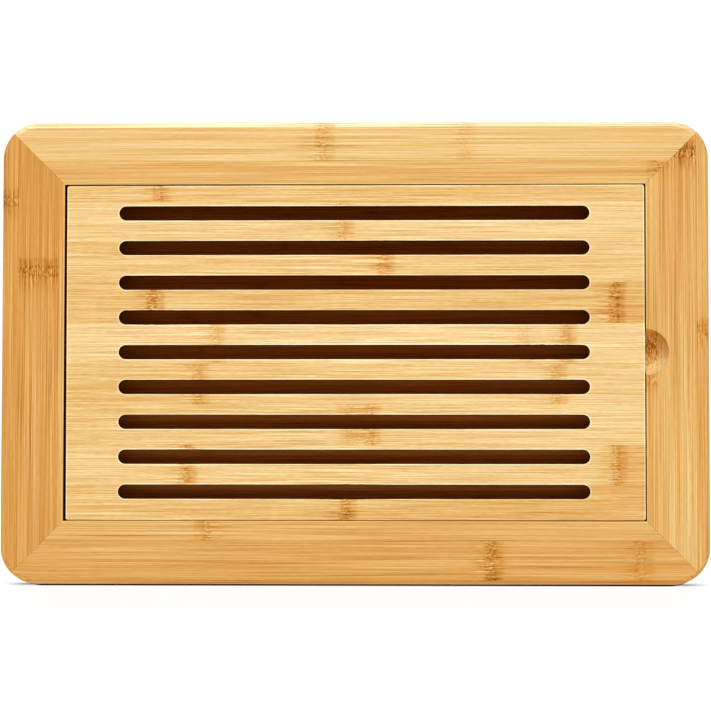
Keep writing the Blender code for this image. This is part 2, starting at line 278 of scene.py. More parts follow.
class NodeSheet:
    """Writes the shader nodes of a material or of the sky, so that a finish reads as a recipe."""

    def __init__(self, owner: bpy.types.Material | bpy.types.World) -> None:
        """Start with the nodes that a new material or sky has."""
        owner.use_nodes = True
        self.owner = owner
        self.nodes = owner.node_tree.nodes

    def feed(self, node: bpy.types.Node, fed: Fed) -> None:
        """Feed a node's sockets.

        Args:
            node: The node.
            fed: What each socket gets, by its name or its place: a link, or a value of its own.
        """
        for name, value in fed.items():
            source = value.socket if isinstance(value, Number) else value
            if isinstance(source, bpy.types.NodeSocket):
                self.owner.node_tree.links.new(source, node.inputs[name])
            else:
                node.inputs[name].default_value = source

    def node(self, kind: str, fed: Fed | None = None, **settings: str) -> bpy.types.Node:
        """Add a node.

        Args:
            kind: The node's type.
            fed: What its sockets get.
            **settings: Its options and their values.

        Returns:
            The new node.
        """
        made = self.nodes.new(f"ShaderNode{kind}")
        for option, value in settings.items():
            setattr(made, option, value)
        self.feed(made, fed or {})
        return made

    def math(self, operation: str, *values: Value) -> Number:
        """Return what an operation makes of its numbers."""
        made = self.node("Math", dict(enumerate(values)), operation=operation)
        return Number(self, made.outputs[0])

    def vector(self, *values: Value) -> Socket:
        """Return a vector of three numbers."""
        return self.node("CombineXYZ", dict(enumerate(values))).outputs[0]

    def parts(self, vector: Socket) -> list[Number]:
        """Return the three numbers of a vector."""
        return [Number(self, part) for part in self.node("SeparateXYZ", {0: vector}).outputs]

    def attribute(self, name: str) -> list[Number]:
        """Return the three numbers that each face carries under a name."""
        made = self.node("Attribute", attribute_type="GEOMETRY", attribute_name=name)
        return self.parts(made.outputs["Vector"])

    def object_place(self) -> list[Number]:
        """Return the place on the piece, in its own frame."""
        return self.parts(self.node("TexCoord").outputs["Object"])

    def noise(self, place: Socket, detail: float) -> Number:
        """Return noise that swings about 0, with one unit of the place to a grain of it."""
        made = self.node("TexNoise", {"Vector": place, "Scale": 1.0, "Detail": detail})
        return Number(self, made.outputs[0]) - NOISE_MIDDLE

    def cells(self, place: Socket) -> tuple[Number, Number]:
        """Return the distance to the nearest cell's middle, and a random number for each cell."""
        made = self.node("TexVoronoi", {"Vector": place, "Scale": 1.0}, voronoi_dimensions="2D")
        return Number(self, made.outputs["Distance"]), self.parts(made.outputs["Color"])[0]

    def rise(self, value: Value, start: Value, end: Value) -> Number:
        """Return a smooth rise from 0 at the start to 1 at the end."""
        fed = {"Value": value, "From Min": start, "From Max": end}
        return Number(self, self.node("MapRange", fed, interpolation_type="SMOOTHSTEP").outputs[0])

    def bell(self, distance: Number, width: float) -> Number:
        """Return a bell curve that is 1 where the distance is 0."""
        share = distance / width
        return self.math("EXPONENT", share * share * -1.0)

    def zone(self, offset: Number, zone: Zone) -> Number:
        """Return 1 inside a zone and 0 beyond its soft edges."""
        return self.rise(zone.half - abs(offset - zone.middle), -zone.edge, zone.edge)

    def ramp(self, value: Number, shades: Sequence[Shade], veil: float = 0.0) -> Socket:
        """Colour by a ramp of shades.

        Args:
            value: The place on the ramp.
            shades: The ramp's stops.
            veil: The white that the gloss lays over the colour, which is taken off it.

        Returns:
            The colour.
        """
        made = self.node("ValToRGB", {0: value})
        stops = made.color_ramp.elements
        while len(stops) < len(shades):
            stops.new(1.0)
        for stop, shade in zip(stops, shades):
            stop.position = shade.place
            stop.color = shade.pigment(veil)
        return made.outputs[0]

    def background_seen(self) -> Number:
        """Return 1 for rays that see the background: from the camera, in a gloss or through glass."""
        path = self.node("LightPath").outputs
        seen = self.math("MAXIMUM", path["Is Camera Ray"], path["Is Glossy Ray"])
        return self.math("MAXIMUM", seen, path["Is Transmission Ray"])

    def coat(self, height: Number, depth: float, fed: Fed) -> None:
        """Feed the surface's own sockets, and give it relief: a depth in metres to a height of 1."""
        relief = self.node("Bump", {"Strength": 1.0, "Distance": depth, "Height": height})
        self.feed(self.nodes["Principled BSDF"], {**fed, "Normal": relief.outputs[0]})


BAMBOO_SHADES = (
    Shade(0.0, 255, 251, 204),
    Shade(0.03, 255, 241, 185),
    Shade(0.12, 254, 219, 157),
    Shade(0.2, 244, 205, 142),
    Shade(0.24, 241, 197, 127),
    Shade(0.28, 237, 188, 115),
    Shade(0.33, 232, 178, 105),
    Shade(0.42, 221, 159, 81),
    Shade(0.58, 199, 129, 51),
    Shade(0.75, 164, 94, 27),
    Shade(1.0, 84, 38, 8),
)
FLOOR_SHADES = (
    Shade(0.0, 250, 164, 72),
    Shade(0.35, 214, 128, 44),
    Shade(0.8, 176, 88, 18),
    Shade(1.0, 112, 54, 10),
)
BEECH_SHADES = (
    Shade(0.0, 214, 178, 138),
    Shade(1.0, 160, 116, 78),
)


@dataclass(frozen=True)
class Marks:
    """One kind of mark along the grain: its length and width, and how much it darkens the wood.

    Its tone moves the colour along the ramp, and its shade dims the colour.
    """

    length: float
    width: float
    tone: float = 0.0
    shade: float = 0.0


@dataclass(frozen=True)
class KnotLook:
    """How a knot shows: its zones along the grain, and the marks in them.

    A rise is the two distances from a cell's middle between which its mark changes. The dots' chance
    is such a rise among the cells' random numbers, so it says how many of the dots show. The detail
    is the number of finer layers in the noise of the knot's mottle and of its wandering edge.
    """

    detail: float = 2.0
    halo: float = 0.0085
    halo_shift: float = 0.0030
    ridge: Zone = Zone(0.0024, 0.0028, 0.0016)
    ridge_tone: float = 0.16
    flecks: Zone = Zone(-0.0014, 0.0030, 0.0016)
    fleck_tone: float = 0.30
    dots: Zone = Zone(-0.0008, 0.0020, 0.0012)
    dot_tone: float = 0.4
    wander: float = 0.0020
    wander_width: float = 0.004
    wave: Marks = Marks(0.0028, 0.0016)
    wave_height: float = 0.0013
    lozenge: Marks = Marks(0.0026, 0.0010)
    lozenge_rise: Span = (0.1, 0.6)
    lozenge_light: float = 0.16
    mottle: Marks = Marks(0.005, 0.0016, 0.55)
    bleed: Marks = Marks(0.011, 0.0007, 1.2)
    bleed_tone: float = 0.11
    dot: Marks = Marks(0.0026, 0.0017)
    dot_rise: Span = (0.06, 0.34)
    dot_chance: Span = (0.35, 0.6)


@dataclass(frozen=True)
class KnotBands:
    """How strongly each part of the lamella's knots shows at a point."""

    halo: Number
    ridge: Number
    flecks: Number
    dots: Number


@dataclass(frozen=True)
class GrainPlace:
    """A point in a lamella: along and across its fibres, its depth, and the lamella's seed."""

    along: Number
    across: Number
    depth: Number
    seed: Number

    @property
    def sheet(self) -> NodeSheet:
        """Return the sheet that the point's nodes are on."""
        return self.along.sheet

    def in_cells(self, marks: Marks) -> Socket:
        """Return the point in units of a texture whose cells have the size of a kind of mark."""
        along = self.along / marks.length + self.seed
        return self.sheet.vector(along, self.across / marks.width + self.seed, self.depth / marks.width)

    def noise(self, marks: Marks, detail: float = 1.0) -> Number:
        """Return noise whose grains have the size of a kind of mark."""
        return self.sheet.noise(self.in_cells(marks), detail)


@dataclass(frozen=True)
class SlotLightPools:
    """Painted light: lighter bands painted on the wood below a row of slots, where the lamps' light falls
    through them.

    It shows beyond its start and grows to its full strength at its end, both places across.
    """

    tone: float = -0.75
    pitch: float = 0.020
    shift: float = 0.0032
    width: float = 0.0030
    start: float = 0.050
    end: float = -0.065

    def tone_at(self, across: Number) -> Number:
        """Find the painted light that the bands add to the wood's tone.

        Args:
            across: The place across the board.

        Returns:
            The tone, 0 or less.
        """
        sheet = across.sheet
        half_pitch = self.pitch / 2
        off_slot = sheet.math("PINGPONG", across - (self.shift - half_pitch), half_pitch) - half_pitch
        strength = 1.0 - sheet.rise(across, self.end, self.start)
        return sheet.bell(off_slot, self.width) * strength * self.tone


@dataclass(frozen=True)
class BambooFinish:
    """Sanded and oiled bamboo, with fibres, glue lines and the flecked bands of its knots."""

    name: str
    slot: str
    grain: Grain
    glue_heights: tuple[float, ...] = ()
    shades: tuple[Shade, ...] = BAMBOO_SHADES
    roughness: float = 0.42
    gloss: float = 0.14
    veil: float = 0.011

    fibre: Marks = Marks(0.045, 0.0005, 0.40, 0.3)
    sheen: Marks = Marks(0.035, 0.0005, 0.0, 0.42)
    fleck: Marks = Marks(0.005, 0.0005, 0.14, 0.20)
    strand: Marks = Marks(0.09, 0.0012, 0.20)
    vein: Marks = Marks(0.20, 0.004, 0.14)
    drift: Marks = Marks(0.10, 0.02, 0.07)
    line: Marks = Marks(0.05, 0.00045, 0.34)
    line_rise: Span = (0.14, 0.3)
    knot: KnotLook = KnotLook()
    knot_gain: float = 0.4
    painted_slot_light: SlotLightPools | None = None

    wave: Marks = Marks(0.07, 0.03)
    wave_height: float = 0.0007
    glue_reach: float = 0.00035
    glue_tone: float = 0.10
    streak_roughness: float = 0.5
    streak_height: float = -4.0
    relief: float = 0.000006

    @cached_property
    def material(self) -> bpy.types.Material:
        """Write the finish as a material.

        Returns:
            The material, which is written once.
        """
        sheet = NodeSheet(bpy.data.materials.new(self.name))
        *sides, depth = sheet.object_place()
        along, across = sides[1 - self.grain.across], sides[self.grain.across]
        middle, half_width, seed = sheet.attribute(LAMELLA_ATTRIBUTE)
        straight = GrainPlace(along, across - middle, depth, seed)
        bands = self.knot_bands(straight)
        bent = self.bent(straight, bands)
        tone, shade = self.streaks(bent, bands)
        tone += self.base_tone(along) + self.knot_tone(bent, bands) + self.glue_line(straight, half_width)
        # Painted light on the floor below the slots
        if self.painted_slot_light:
            tone += self.painted_slot_light.tone_at(across)
        colour = sheet.ramp(tone, self.shades, self.veil)
        dimmed = sheet.node("VectorMath", {0: colour, "Scale": 1.0 - shade}, operation="SCALE")
        fed = {
            "Base Color": dimmed.outputs[0],
            "Roughness": shade * self.streak_roughness + self.roughness,
            "Specular IOR Level": self.gloss,
        }
        sheet.coat(shade * self.streak_height, self.relief, fed)
        return sheet.owner

    def bent(self, straight: GrainPlace, bands: KnotBands) -> GrainPlace:
        """Bend the fibres: a little everywhere, and in short waves near a knot.

        Args:
            straight: The point by straight fibres.
            bands: The knots' parts there.

        Returns:
            The point by the bent fibres.
        """
        slow = straight.noise(self.wave) * self.wave_height
        quick = straight.noise(self.knot.wave) * bands.halo * self.knot.wave_height
        return replace(straight, across=straight.across + slow + quick)

    def base_tone(self, along: Number) -> Number:
        """Find the lamella's own tone, which turns from one to another on the way along it.

        Args:
            along: The place along the board.

        Returns:
            The tone, with the painted light and shade that the face's edge, side or notch adds.
        """
        low_tone, high_tone, edge_light_shift = along.sheet.attribute(TONE_ATTRIBUTE)
        turn, reach, _ = along.sheet.attribute(TURN_ATTRIBUTE)
        share = along.sheet.rise((along - turn) / reach, -1.0, 1.0)
        return (high_tone - low_tone) * share + low_tone + edge_light_shift

    def streaks(self, place: GrainPlace, bands: KnotBands) -> tuple[Number, Number]:
        """Find what every kind of streak does to the wood.

        Args:
            place: The point by the bent fibres.
            bands: The knots' parts there.

        Returns:
            The streaks' tone and their shade.
        """
        kinds = (self.fibre, self.sheen, self.fleck, self.strand, self.vein, self.drift, self.line)
        fibre, sheen, fleck, strand, vein, drift, line = (place.noise(kind) for kind in kinds)
        gain = bands.halo * self.knot_gain + 1.0
        tone = fibre * self.fibre.tone + fleck * self.fleck.tone + strand * self.strand.tone
        tone += place.sheet.rise(line, *self.line_rise) * self.line.tone
        shade = fibre * self.fibre.shade + sheen * self.sheen.shade + fleck * self.fleck.shade
        return tone * gain + vein * self.vein.tone + drift * self.drift.tone, shade * gain

    def knot_bands(self, place: GrainPlace) -> KnotBands:
        """Find how strongly the parts of the lamella's knots show at a point.

        Args:
            place: The point by straight fibres.

        Returns:
            The strength of each part.
        """
        look = self.knot
        sheet = place.sheet
        wander_place = sheet.vector(place.across / look.wander_width, place.seed, 0.0)
        wander = sheet.noise(wander_place, look.detail) * look.wander
        knots = []
        for along, strength, side in zip(*(sheet.attribute(name) for name in KNOT_ATTRIBUTES)):
            offset = (place.along - along) * side + wander
            halo = sheet.bell(offset + look.halo_shift, look.halo)
            zones = [sheet.zone(offset, zone) for zone in (look.ridge, look.flecks, look.dots)]
            knots.append([part * strength for part in (halo, *zones)])
        return KnotBands(*(first + second + third for first, second, third in zip(*knots)))

    def knot_tone(self, place: GrainPlace, bands: KnotBands) -> Number:
        """Find the tone that the knots add to the wood.

        Args:
            place: The point by the bent fibres.
            bands: The knots' parts there.

        Returns:
            The tone of their brown ridges, lozenges and dots, and of the streaks that bleed from them.
        """
        look = self.knot
        sheet = place.sheet
        ridge = place.noise(look.mottle, look.detail) * look.mottle.tone + look.ridge_tone
        to_lozenge, _ = sheet.cells(place.in_cells(look.lozenge))
        lozenge = sheet.rise(to_lozenge, *look.lozenge_rise) - look.lozenge_light
        bleed = place.noise(look.bleed) * look.bleed.tone + look.bleed_tone
        to_dot, chance = sheet.cells(place.in_cells(look.dot))
        ink = (1.0 - sheet.rise(to_dot, *look.dot_rise)) * sheet.rise(chance, *look.dot_chance)
        marks = bands.flecks * lozenge * look.fleck_tone + bands.dots * ink * look.dot_tone
        return bands.ridge * ridge + bands.halo * bleed + marks

    def glue_line(self, place: GrainPlace, half_width: Number) -> Number:
        """Find the tone of the glue lines between lamellas and between layers.

        Args:
            place: The point by straight fibres.
            half_width: Half of the lamella's width.

        Returns:
            The tone, 0 away from the lines.
        """
        sheet = place.sheet
        least = half_width - abs(place.across)
        for height in self.glue_heights:
            least = sheet.math("MINIMUM", least, abs(place.depth - height))
        return (1.0 - sheet.rise(least, 0.0, self.glue_reach)) * self.glue_tone


@dataclass(frozen=True)
class BeechFinish:
    """Raw pressed beech, as loose tongues are made of."""

    name: str
    fleck_length: float = 0.003
    fleck_width: float = 0.0006
    detail: float = 3.0
    roughness: float = 0.5
    fleck_roughness: float = 0.2
    relief: float = 0.00005

    @cached_property
    def material(self) -> bpy.types.Material:
        """Write the finish as a material.

        Returns:
            The material, which is written once.
        """
        sheet = NodeSheet(bpy.data.materials.new(self.name))
        x, y, depth = sheet.object_place()
        place = sheet.vector(x / self.fleck_length, y / self.fleck_length, depth / self.fleck_width)
        tone = sheet.noise(place, self.detail) + NOISE_MIDDLE
        roughness = tone * self.fleck_roughness + self.roughness
        fed = {"Base Color": sheet.ramp(tone, BEECH_SHADES), "Roughness": roughness}
        sheet.coat(tone, self.relief, fed)
        return sheet.owner


def arc(centre_x: float, centre_y: float, radius: float, start: float, end: float, steps: int) -> Outline:
    """Draw an arc.

    Args:
        centre_x: The centre's X.
        centre_y: The centre's Y.
        radius: The arc's radius.
        start: The angle that it starts at.
        end: The angle that it ends at.
        steps: The number of straight steps that it is made of.

    Returns:
        The points, with both ends.
    """
    points = []
    for step in range(steps + 1):
        angle = start + (end - start) * step / steps
        points.append((centre_x + radius * math.cos(angle), centre_y + radius * math.sin(angle)))
    return points


def rectangle(left: float, right: float, front: float, rear: float) -> Outline:
    """Return the corners of a rectangle, anticlockwise."""
    return [(left, front), (right, front), (right, rear), (left, rear)]


def rounded_rectangle(length: float, width: float, radius: float, steps: int) -> Outline:
    """Draw a rectangle with round corners about the origin, anticlockwise.

    Args:
        length: Its size along X.
        width: Its size along Y.
        radius: The corners' radius.
        steps: The number of steps in each corner.

    Returns:
        The points of the outline.
    """
    right = length / 2 - radius
    rear = width / 2 - radius
    points: Outline = []
    for turn, (x, y) in enumerate([(right, rear), (-right, rear), (-right, -rear), (right, -rear)]):
        points += arc(x, y, radius, turn * QUARTER_TURN, (turn + 1) * QUARTER_TURN, steps)
    return points


def stadium(length: float, width: float, steps: int) -> Outline:
    """Draw a slot with round ends along X, anticlockwise about the origin.

    Args:
        length: Its length over the round ends.
        width: Its width.
        steps: The number of steps in each end.

    Returns:
        The points of the outline.
    """
    reach = (length - width) / 2
    right_end = arc(reach, 0, width / 2, -QUARTER_TURN, QUARTER_TURN, steps)
    left_end = arc(-reach, 0, width / 2, QUARTER_TURN, 3 * QUARTER_TURN, steps)
    return right_end + left_end


def turned(outline: Outline, angle: float, shift_x: float, shift_y: float) -> Outline:
    """Turn an outline about the origin, and then move it.

    Args:
        outline: The outline.
        angle: The turn, anticlockwise.
        shift_x: The move along X.
        shift_y: The move along Y.

    Returns:
        The new outline.
    """
    points = []
    for x, y in outline:
        turned_x = x * math.cos(angle) - y * math.sin(angle)
        turned_y = x * math.sin(angle) + y * math.cos(angle)
        points.append((turned_x + shift_x, turned_y + shift_y))
    return points


def stack(shape: bmesh.types.BMesh, rings: Sequence[Ring]) -> None:
    """Add a closed body made of outlines at rising heights.

    Args:
        shape: The mesh that it is added to.
        rings: Outlines and their heights. All have the same number of points.
    """
    levels = [[shape.verts.new((x, y, height)) for x, y in outline] for outline, height in rings]
    for lower, upper in zip(levels, levels[1:]):
        for index in range(len(lower)):
            after = (index + 1) % len(lower)
            shape.faces.new((lower[index], lower[after], upper[after], upper[index]))
    shape.faces.new(list(reversed(levels[0])))
    shape.faces.new(levels[-1])


def round_inset(radius: float, below: float) -> float:
    """Find how far a rounded edge is drawn in.

    Args:
        radius: The edge's radius.
        below: The distance below the face that the edge runs out on.

    Returns:
        The distance from the upright face, or 0 further down than the radius.
    """
    if below >= radius:
        return 0.0
    drop = radius - max(below, 0.0)
    return radius - math.sqrt(radius * radius - drop * drop)


def round_heights(radius: float, steps: int) -> list[float]:
    """Return the distances below a face at which the steps of its rounded edge lie."""
    return [radius * (1 - math.sin(step / steps * QUARTER_TURN)) for step in range(steps + 1)]


@dataclass(frozen=True)
class Arris:
    """A worn edge: a strip that slopes gently off the face, and a small rounding below it."""

    slope_width: float = 0.0006
    slope_depth: float = 0.00006
    radius: float = 0.00016
    steps: int = 2

    @property
    def width(self) -> float:
        """Return how far the worn edge reaches in from the upright face."""
        return self.slope_width + self.radius

    @property
    def depth(self) -> float:
        """Return how far it reaches down from the face."""
        return self.slope_depth + self.radius

    def heights(self) -> list[float]:
        """Return the distances below the face at which its steps lie, deepest first."""
        rounding = [self.slope_depth + below for below in round_heights(self.radius, self.steps)]
        return [*rounding, 0.0]

    def drawn_in(self, below: float) -> float:
        """Find how far it is drawn in from the upright face.

        Args:
            below: The distance below the face.

        Returns:
            The distance from the upright face.
        """
        if below >= self.slope_depth:
            return round_inset(self.radius, below - self.slope_depth)
        return self.radius + self.slope_width * (1 - max(below, 0.0) / self.slope_depth)

    def flare(self, overrun: float) -> float:
        """Return how much wider a guide gets above the face, where it goes on along the slope."""
        return overrun * self.slope_width / self.slope_depth


def add_object(name: str, shape: bmesh.types.BMesh) -> Piece:
    """Put a finished shape in the scene.

    Args:
        name: The object's name.
        shape: Its mesh, which is freed.

    Returns:
        The new object.
    """
    mesh = bpy.data.meshes.new(name)
    shape.to_mesh(mesh)
    shape.free()
    thing = bpy.data.objects.new(name, mesh)
    bpy.context.scene.collection.objects.link(thing)
    return thing


def block(name: str, rings: Sequence[Ring]) -> Piece:
    """Put one closed body of stacked outlines in the scene, and return it."""
    shape = bmesh.new()
    stack(shape, rings)
    return add_object(name, shape)


def boxed_block(name: str, low: Vector, high: Vector, levels: Iterable[tuple[float, float]]) -> Piece:
    """Put a body that fills a box in the scene, with its edges eased.

    Args:
        name: The object's name.
        low: The box's lowest corner.
        high: Its highest corner.
        levels: Rising heights, and how far the body is drawn in there.

    Returns:
        The new object.
    """
    rings = []
    for height, inset in levels:
        rings.append((rectangle(low.x + inset, high.x - inset, low.y + inset, high.y - inset), height))
    return block(name, rings)


def combine(piece: Piece, guides: Iterable[Piece], cut: Cut) -> None:
    """Cut a piece with guides, or keep what lies inside them, and settle the result in its mesh.

    Args:
        piece: The piece.
        guides: The guides, which stay in the scene.
        cut: What the guides do.
    """
    for guide in guides:
        boolean = piece.modifiers.new(guide.name, "BOOLEAN")
        boolean.operation = cut.value
        boolean.object = guide
    bpy.context.view_layer.update()
    depsgraph = bpy.context.evaluated_depsgraph_get()
    rough_mesh = piece.data
    piece.data = bpy.data.meshes.new_from_object(piece.evaluated_get(depsgraph))
    piece.modifiers.clear()
    bpy.data.meshes.remove(rough_mesh)


def discard(guides: Iterable[Piece]) -> None:
    """Remove guides from the scene once every piece is cut."""
    for guide in guides:
        bpy.data.objects.remove(guide)


def cut_along(
    shape: bmesh.types.BMesh, faces: Sequence[bmesh.types.BMFace], axis: int, place: float
) -> None:
    """Split faces where a plane square to an axis crosses them, and leave the body closed.

    Args:
        shape: The mesh.
        faces: The faces to split.
        axis: The axis, 0 for X, 1 for Y and 2 for Z.
        place: Where the plane crosses the axis.
    """
    edges = {edge for face in faces for edge in face.edges}
    corners = {corner for face in faces for corner in face.verts}
    normal = Vector()
    normal[axis] = 1.0
    geometry = [*corners, *edges, *faces]
    bmesh.ops.bisect_plane(shape, geom=geometry, dist=CUT_SLACK, plane_co=normal * place, plane_no=normal)


def plain_edges(centre: Vector, normal: Vector) -> float:
    """Return no tone, for a piece whose edges have the colour of its faces."""
    return 0.0


def split_lamellas(
    piece: Piece, layers: Sequence[Layer], grain: Grain, edge_light_and_tone: EdgeLightAndTone = plain_edges
) -> None:
    """Split a piece's faces along its glue lines, and write each lamella's figures on its faces.

    Args:
        piece: The piece.
        layers: Its layers, from the lowest to the highest.
        grain: The way that its fibres run.
        edge_light_and_tone: The tone that a face adds by its centre and its normal, mostly painted light
            and shade.
    """
    shape = bmesh.new()
    shape.from_mesh(piece.data)
    for layer in layers[1:]:
        cut_along(shape, list(shape.faces), 2, layer.bottom)
    for layer in layers:
        for strip in layer.lamellas[1:]:
            inside = [face for face in shape.faces if layer.beyond(face.calc_center_median().z) <= SLACK]
            cut_along(shape, inside, grain.across, strip.low_edge)
    shape.to_mesh(piece.data)
    shape.free()
    write_lamellas(piece.data, layers, grain.across, edge_light_and_tone)


def write_lamellas(
    mesh: bpy.types.Mesh, layers: Sequence[Layer], axis: int, edge_light_and_tone: EdgeLightAndTone
) -> None:
    """Write on each face of a mesh the figures of the lamella that it belongs to.

    Args:
        mesh: The mesh.
        layers: The layers of lamellas.
        axis: The axis across the grain, 0 for X and 1 for Y.
        edge_light_and_tone: The tone that a face adds by its centre and its normal, mostly painted light
            and shade.
    """
    names = (LAMELLA_ATTRIBUTE, TONE_ATTRIBUTE, TURN_ATTRIBUTE, *KNOT_ATTRIBUTES)
    for name in names:
        mesh.attributes.new(name, "FLOAT_VECTOR", "FACE")
    columns = [mesh.attributes[name].data for name in names]
    for polygon in mesh.polygons:
        height = polygon.center.z
        layer = min(layers, key=lambda one: one.beyond(height))
        strip = layer.lamella_at(polygon.center[axis])
        blanks = [Knot(0.0, 0.0)] * (KNOTS_IN_A_LAMELLA - len(strip.knots))
        knots = [*strip.knots, *blanks]
        figures = (
            (strip.middle, strip.half_width, strip.seed),
            (strip.low_tone, strip.high_tone, edge_light_and_tone(polygon.center, polygon.normal)),
            (strip.turn, strip.turn_reach, 0.0),
            [knot.along for knot in knots],
            [knot.strength for knot in knots],
            [knot.side for knot in knots],
        )
        for column, figure in zip(columns, figures):
            column[polygon.index].vector = figure


def fit_piece(piece: Piece, node: str, body: str, finish: BambooFinish) -> None:
    """Dress a finished piece and put it in its node's place on its body.

    Its round stretches are shaded smooth and its flat faces stay flat.

    Args:
        piece: The piece.
        node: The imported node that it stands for.
        body: The body that it rides on.
        finish: Its finish.
    """
    piece.data.materials.clear()
    piece.data.materials.append(finish.material)
    piece.data.shade_smooth()
    piece.data.set_sharp_from_angle(angle=SMOOTH_ANGLE)
    weighted = piece.modifiers.new("flat faces lead", "WEIGHTED_NORMAL")
    weighted.keep_sharp = True
    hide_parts(node)
    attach(piece, body)
    LOG.info("%s: %d faces, for %s on %s", piece.name, len(piece.data.polygons), node, body)


@dataclass(frozen=True)
class BoardSizes:
    """The board's main sizes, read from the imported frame, and the radius of its round corners."""

    length: float
    width: float
    height: float
    opening_length: float
    opening_width: float
    floor_top: float
    insert_bottom: float
    insert_length: float
    insert_width: float
    insert_middle: float
    corner_radius: float = 0.021

    @classmethod
    def from_frame(cls) -> "BoardSizes":
        """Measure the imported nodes.

        Returns:
            The sizes.
        """
        rear_low, rear_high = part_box("rear_rail")
        left_low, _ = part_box("left_rail")
        right_low, right_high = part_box("right_rail")
        _, floor_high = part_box("tray_floor")
        first_low, first_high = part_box("insert_stave_1")
        last_low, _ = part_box("insert_stave_9")
        return cls(
            length=right_high.x - left_low.x,
            width=2 * rear_high.y,
            height=rear_high.z,
            opening_length=2 * right_low.x,
            opening_width=2 * rear_low.y,
            floor_top=floor_high.z,
            insert_bottom=first_low.z,
            insert_length=first_high.x - first_low.x,
            insert_width=first_high.y - last_low.y,
            insert_middle=(first_high.x + first_low.x) / 2,
        )

    def over_corner(self, x: Value, y: Value) -> tuple[Value, Value]:
        """Return how far a point lies beyond the middles of the round corners, along X and Y."""
        radius = self.corner_radius
        return abs(x) - (self.length / 2 - radius), abs(y) - (self.width / 2 - radius)

    def off_side(self, x: float, y: float) -> float:
        """Find how far a point lies outside the board's outline.

        Args:
            x: The point's X.
            y: The point's Y.

        Returns:
            The distance, less than 0 inside.
        """
        over_x, over_y = self.over_corner(x, y)
        outside = math.hypot(max(over_x, 0.0), max(over_y, 0.0))
        return outside + min(max(over_x, over_y), 0.0) - self.corner_radius


@dataclass(frozen=True)
class RailPlan:
    """How one rail lies and which lamellas its upper layer shows, from its low edge to its high one.

    It is turned by quarters from where the front rail lies. Its round light tone is painted light
    and shade on its outer rounding: a painted highlight on the rear rail's, which faces the key lamp,
    and painted shade on the front rail's. Its core tone is that of the two layers below the upper
    one, and its core knots are those of the middle layer.
    """

    node: str
    grain: Grain
    quarters: int
    lamellas: tuple[Lamella, ...]
    round_light_tone: float = 0.0
    core_tone: float = 0.44
    core_knots: tuple[Knot, ...] = ()


RAIL_KNOT = KnotLook(
    ridge=Zone(0.0030, 0.0027, 0.0014),
    ridge_tone=0.10,
    flecks=Zone(-0.0016, 0.0034, 0.0014),
    fleck_tone=0.34,
    dots=Zone(-0.0010, 0.0024, 0.0012),
    dot_tone=0.24,
    lozenge_light=0.38,
)
RAIL_PLANS = (
    RailPlan(
        "front_rail",
        Grain.LENGTHWISE,
        0,
        (
            Lamella(-0.1360, -0.1307, 0.42, 0.44, 2.31),
            Lamella(-0.1307, -0.1079, 0.36, 0.38, 5.17, (Knot(0.0795, 0.65), Knot(0.1643, 0.35))),
            Lamella(-0.1079, -0.0930, 0.32, 0.33, 7.73, (Knot(-0.0856, 0.5, -1.0),)),
        ),
        round_light_tone=0.03,
    ),
    RailPlan(
        "right_rail",
        Grain.CROSSWISE,
        1,
        (
            Lamella(0.1630, 0.1735, 0.355, 0.29, 1.13, (Knot(-0.0178, 0.45, -1.0), Knot(0.006, 0.7))),
            Lamella(0.1735, 0.1958, 0.26, 0.365, 4.41, (Knot(0.1165, 1.0),)),
            Lamella(0.1958, 0.2060, 0.345, 0.34, 8.09, (Knot(0.0134, 0.6),)),
        ),
        core_tone=0.46,
        core_knots=(Knot(0.0035, 0.7),),
    ),
    RailPlan(
        "rear_rail",
        Grain.LENGTHWISE,
        2,
        (
            Lamella(0.0930, 0.1100, 0.31, 0.285, 3.77, (Knot(0.1735, 0.6, -1.0),)),
            Lamella(0.1100, 0.1360, 0.23, 0.24, 6.53, (Knot(-0.0173, 0.45), Knot(0.0644, 0.2))),
        ),
        round_light_tone=-0.20,
    ),
    RailPlan(
        "left_rail",
        Grain.CROSSWISE,
        3,
        (
            Lamella(-0.2060, -0.1937, 0.41, 0.41, 9.31, (Knot(0.0888, 0.6),)),
            Lamella(-0.1937, -0.1706, 0.38, 0.43, 2.89, (Knot(0.0483, 0.7),)),
            Lamella(-0.1706, -0.1630, 0.385, 0.385, 6.07),
        ),
    ),
)


@dataclass(frozen=True)
class CoreLayer:
    """One of a rail's two hidden layers: its heights, where its glue line runs, and its seed.

    The glue line's place is a share of the way from the rail's low edge to its high one.
    """

    bottom: float
    top: float
    line: float
    seed: int


